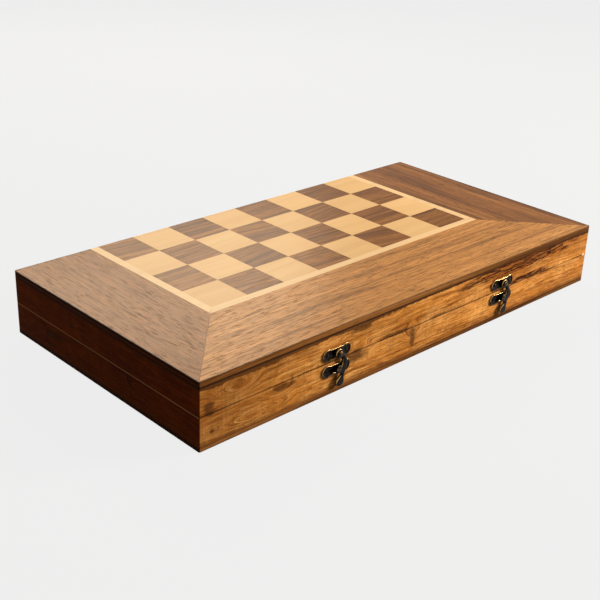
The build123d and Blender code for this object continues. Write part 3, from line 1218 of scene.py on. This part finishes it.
# %% Pips
pip_apart = 0.003
pip_radius = 0.0011
pip_flatness = 0.06
pip_places = {
    1: [(0, 0)],
    2: [(-1, -1), (1, 1)],
    3: [(-1, -1), (0, 0), (1, 1)],
    4: [(-1, -1), (1, -1), (-1, 1), (1, 1)],
    5: [(-1, -1), (1, -1), (0, 0), (-1, 1), (1, 1)],
    6: [(-1, -1), (-1, 0), (-1, 1), (1, -1), (1, 0), (1, 1)],
}
sides = {1: (0, 0, 1), 6: (0, 0, -1), 2: (0, -1, 0), 5: (0, 1, 0), 3: (1, 0, 0), 4: (-1, 0, 0)}
pips = bmesh.new()
for centre in centres:
    for count, out in sides.items():
        for across, along in pip_places[count]:
            spot = Matrix.Translation((across * pip_apart, along * pip_apart, die_size / 2))
            flat = Matrix.Diagonal((1, 1, pip_flatness, 1))
            where = Matrix.Translation(centre) @ aimed(out) @ spot @ flat
            bmesh.ops.create_icosphere(pips, subdivisions=2, radius=pip_radius, matrix=where)
to_piece(pips, "dice_pips", ink, "lower_half")
print(2 * sum(len(places) for places in pip_places.values()), "pips")


# %% [markdown]
# ## Floor
#
# The floor is plain and pale. Seen by the camera or in a reflection it is close to the picture's
# background, and it keeps a faint soft shadow near the case. A Light Path node makes it darker
# for the light that bounces off it, because otherwise the floor would fill the shaded end of the
# case, which is almost black in the picture.

# %% Floor
def seen(tree):
    """1 for the rays that show a surface: from the camera, off a gloss or through glass."""
    camera_ray = tree.add("ShaderNodeLightPath", {}, {}, "Is Camera Ray")
    glossy_ray = tree.add("ShaderNodeLightPath", {}, {}, "Is Glossy Ray")
    clear_ray = tree.add("ShaderNodeLightPath", {}, {}, "Is Transmission Ray")
    return camera_ray + glossy_ray + clear_ray


background = shade(240, 240, 240)
plain_share = 0.955
floor_drop = 0.0004
floor_reach = 12.0


def floor_finish():
    finish = Finish("pale_floor")
    finish.skin.inputs["Base Color"].default_value = shade(120, 118, 116)
    finish.skin.inputs["Roughness"].default_value = 0.9
    pale = finish.add("ShaderNodeBsdfDiffuse", {}, {"Color": shade(205, 205, 205)})
    plain = finish.add("ShaderNodeEmission", {}, {"Color": background, "Strength": 1.0})
    shown = finish.add("ShaderNodeMixShader", {}, {0: plain_share, 1: pale, 2: plain})
    skin = Wire(finish, finish.skin.outputs[0])
    both = finish.add("ShaderNodeMixShader", {}, {0: seen(finish), 1: skin, 2: shown})
    finish.give(finish.tree.nodes["Material Output"].inputs["Surface"], both)
    return finish.material


ground = bmesh.new()
just_below = Matrix.Translation((0, 0, -floor_drop))
bmesh.ops.create_grid(ground, x_segments=1, y_segments=1, size=floor_reach, matrix=just_below)
floor_mesh = bpy.data.meshes.new("floor")
ground.to_mesh(floor_mesh)
ground.free()
floor_mesh.materials.append(floor_finish())
floor = bpy.data.objects.new("floor", floor_mesh)
bpy.context.scene.collection.objects.link(floor)
print("floor", round(floor.dimensions.x), "m wide")


# %% [markdown]
# ## Light
#
# In the picture the shadows of the latches fall to the left, the left end is almost black, and
# the left part of the top has a pale sheen. So the main lamp stands low and far to the right, in
# front of the case. The sheen is a reflection: a second, weaker lamp stands behind the case on
# the right, where a mirror on the left part of the top would show it to the camera. The world
# adds a little light from everywhere, and is the pale backdrop for the rays that see it.

# %% Lamps and world
def lamp(name, place, aim, width, height, power, colour):
    data = bpy.data.lights.new(name, "AREA")
    data.shape = "RECTANGLE"
    data.size = width
    data.size_y = height
    data.energy = power
    data.color = colour
    light = bpy.data.objects.new(name, data)
    bpy.context.scene.collection.objects.link(light)
    direction = Vector(aim) - Vector(place)
    turned_to = direction.to_track_quat("-Z", "Y").to_matrix().to_4x4()
    light.matrix_world = Matrix.Translation(place) @ turned_to


lamp("key", (1.25, -0.9, 0.68), (0, -0.1, 0.03), 0.5, 0.5, 54.0, (1.0, 0.96, 0.9))
lamp("sheen", (0.60, 1.12, 0.80), (-0.28, -0.02, 0.06), 0.75, 0.4, 18.0, (1.0, 0.87, 0.66))
world = bpy.data.worlds.new("studio")
bpy.context.scene.world = world
world.use_nodes = True
air = Nodes(world.node_tree)
fill = air.add("ShaderNodeBackground", {}, {"Color": (1.0, 0.98, 0.95, 1.0), "Strength": 0.22})
backdrop = air.add("ShaderNodeBackground", {}, {"Color": background, "Strength": 1.0})
both = air.add("ShaderNodeMixShader", {}, {0: seen(air), 1: fill, 2: backdrop})
air.give(world.node_tree.nodes["World Output"].inputs["Surface"], both)
bpy.context.scene.view_settings.view_transform = "Standard"
print("two lamps and a dim world")


# %% [markdown]
